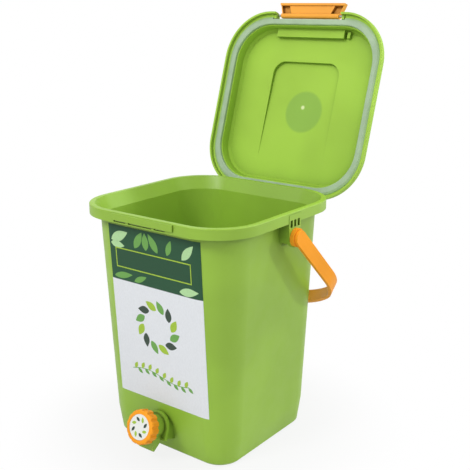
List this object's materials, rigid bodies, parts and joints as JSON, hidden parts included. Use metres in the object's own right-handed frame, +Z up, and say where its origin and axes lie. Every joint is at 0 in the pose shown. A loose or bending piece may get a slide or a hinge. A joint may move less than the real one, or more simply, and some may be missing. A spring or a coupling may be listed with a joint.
{
  "type": "kitchen compost caddy",
  "caption": "Tapered plastic compost caddy with hinged sealed lid, front latch, swinging strap handle and a drain tap at the foot.",
  "frame": {"origin": "on the floor under the middle of the bin, on its flat base", "axes": "+Z up, front with the tap and label towards -Y, +X to the right of the bin's front as seen from the back"},
  "size_m": [0.2682, 0.3714, 0.5294],
  "materials": {
    "green_plastic": "satin leaf green moulding",
    "orange_plastic": "glossy orange moulding",
    "label_paper": "printed paper label",
    "disc_film": "printed film",
    "strainer_plastic": "satin moulding",
    "seal_rubber": "pale soft seal",
    "dark_rubber": "black rubber",
    "pale_plastic": "off-white moulding",
    "steel": "bright steel"
  },
  "bodies": {
    "bin": {"bin_body": "green_plastic", "front_label": "label_paper", "tap_body": "green_plastic", "tap_gasket": "dark_rubber", "tap_washer": "pale_plastic", "tap_nut": "pale_plastic", "hinge_pin_left": "steel", "hinge_pin_right": "steel"},
    "strainer": {"strainer_plate": "strainer_plastic", "strainer_leg_front_left": "strainer_plastic", "strainer_leg_front_right": "strainer_plastic", "strainer_leg_back_left": "strainer_plastic", "strainer_leg_back_right": "strainer_plastic"},
    "lid": {"lid_shell": "green_plastic", "lid_seal": "seal_rubber", "latch_pin": "steel"},
    "latch": {"latch_flap": "orange_plastic"},
    "bail": {"bail_handle": "orange_plastic"},
    "tap_rotor": {"tap_knob": "orange_plastic", "knob_disc": "disc_film", "knob_screw": "steel", "valve_plug": "pale_plastic", "plug_seal_front": "dark_rubber", "plug_seal_rear": "dark_rubber"}
  },
  "joints": [
    {"name": "lid_hinge", "type": "hinge", "parent": "bin", "child": "lid", "pos_m": [0, 0.12503, 0.28444], "axis": [1, 0, 0], "range_deg": [0, 107.7]},
    {"name": "latch_flip", "type": "hinge", "parent": "lid", "child": "latch", "pos_m": [0, 0.21936, 0.51238], "axis": [1, 0, 0], "range_deg": [0, 90]},
    {"name": "bail_swing", "type": "hinge", "parent": "bin", "child": "bail", "pos_m": [0, 0.008, 0.27], "axis": [1, 0, 0], "range_deg": [-5.5, 40]},
    {"name": "tap_turn", "type": "hinge", "parent": "bin", "child": "tap_rotor", "pos_m": [0, -0.1344, 0.0484], "axis": [0, -0.9397, 0.342], "range_deg": [0, 90]},
    {"name": "strainer_lift", "type": "slide", "parent": "bin", "child": "strainer", "axis": [0, 0, 1], "range_m": [0, 0.22]}
  ]
}
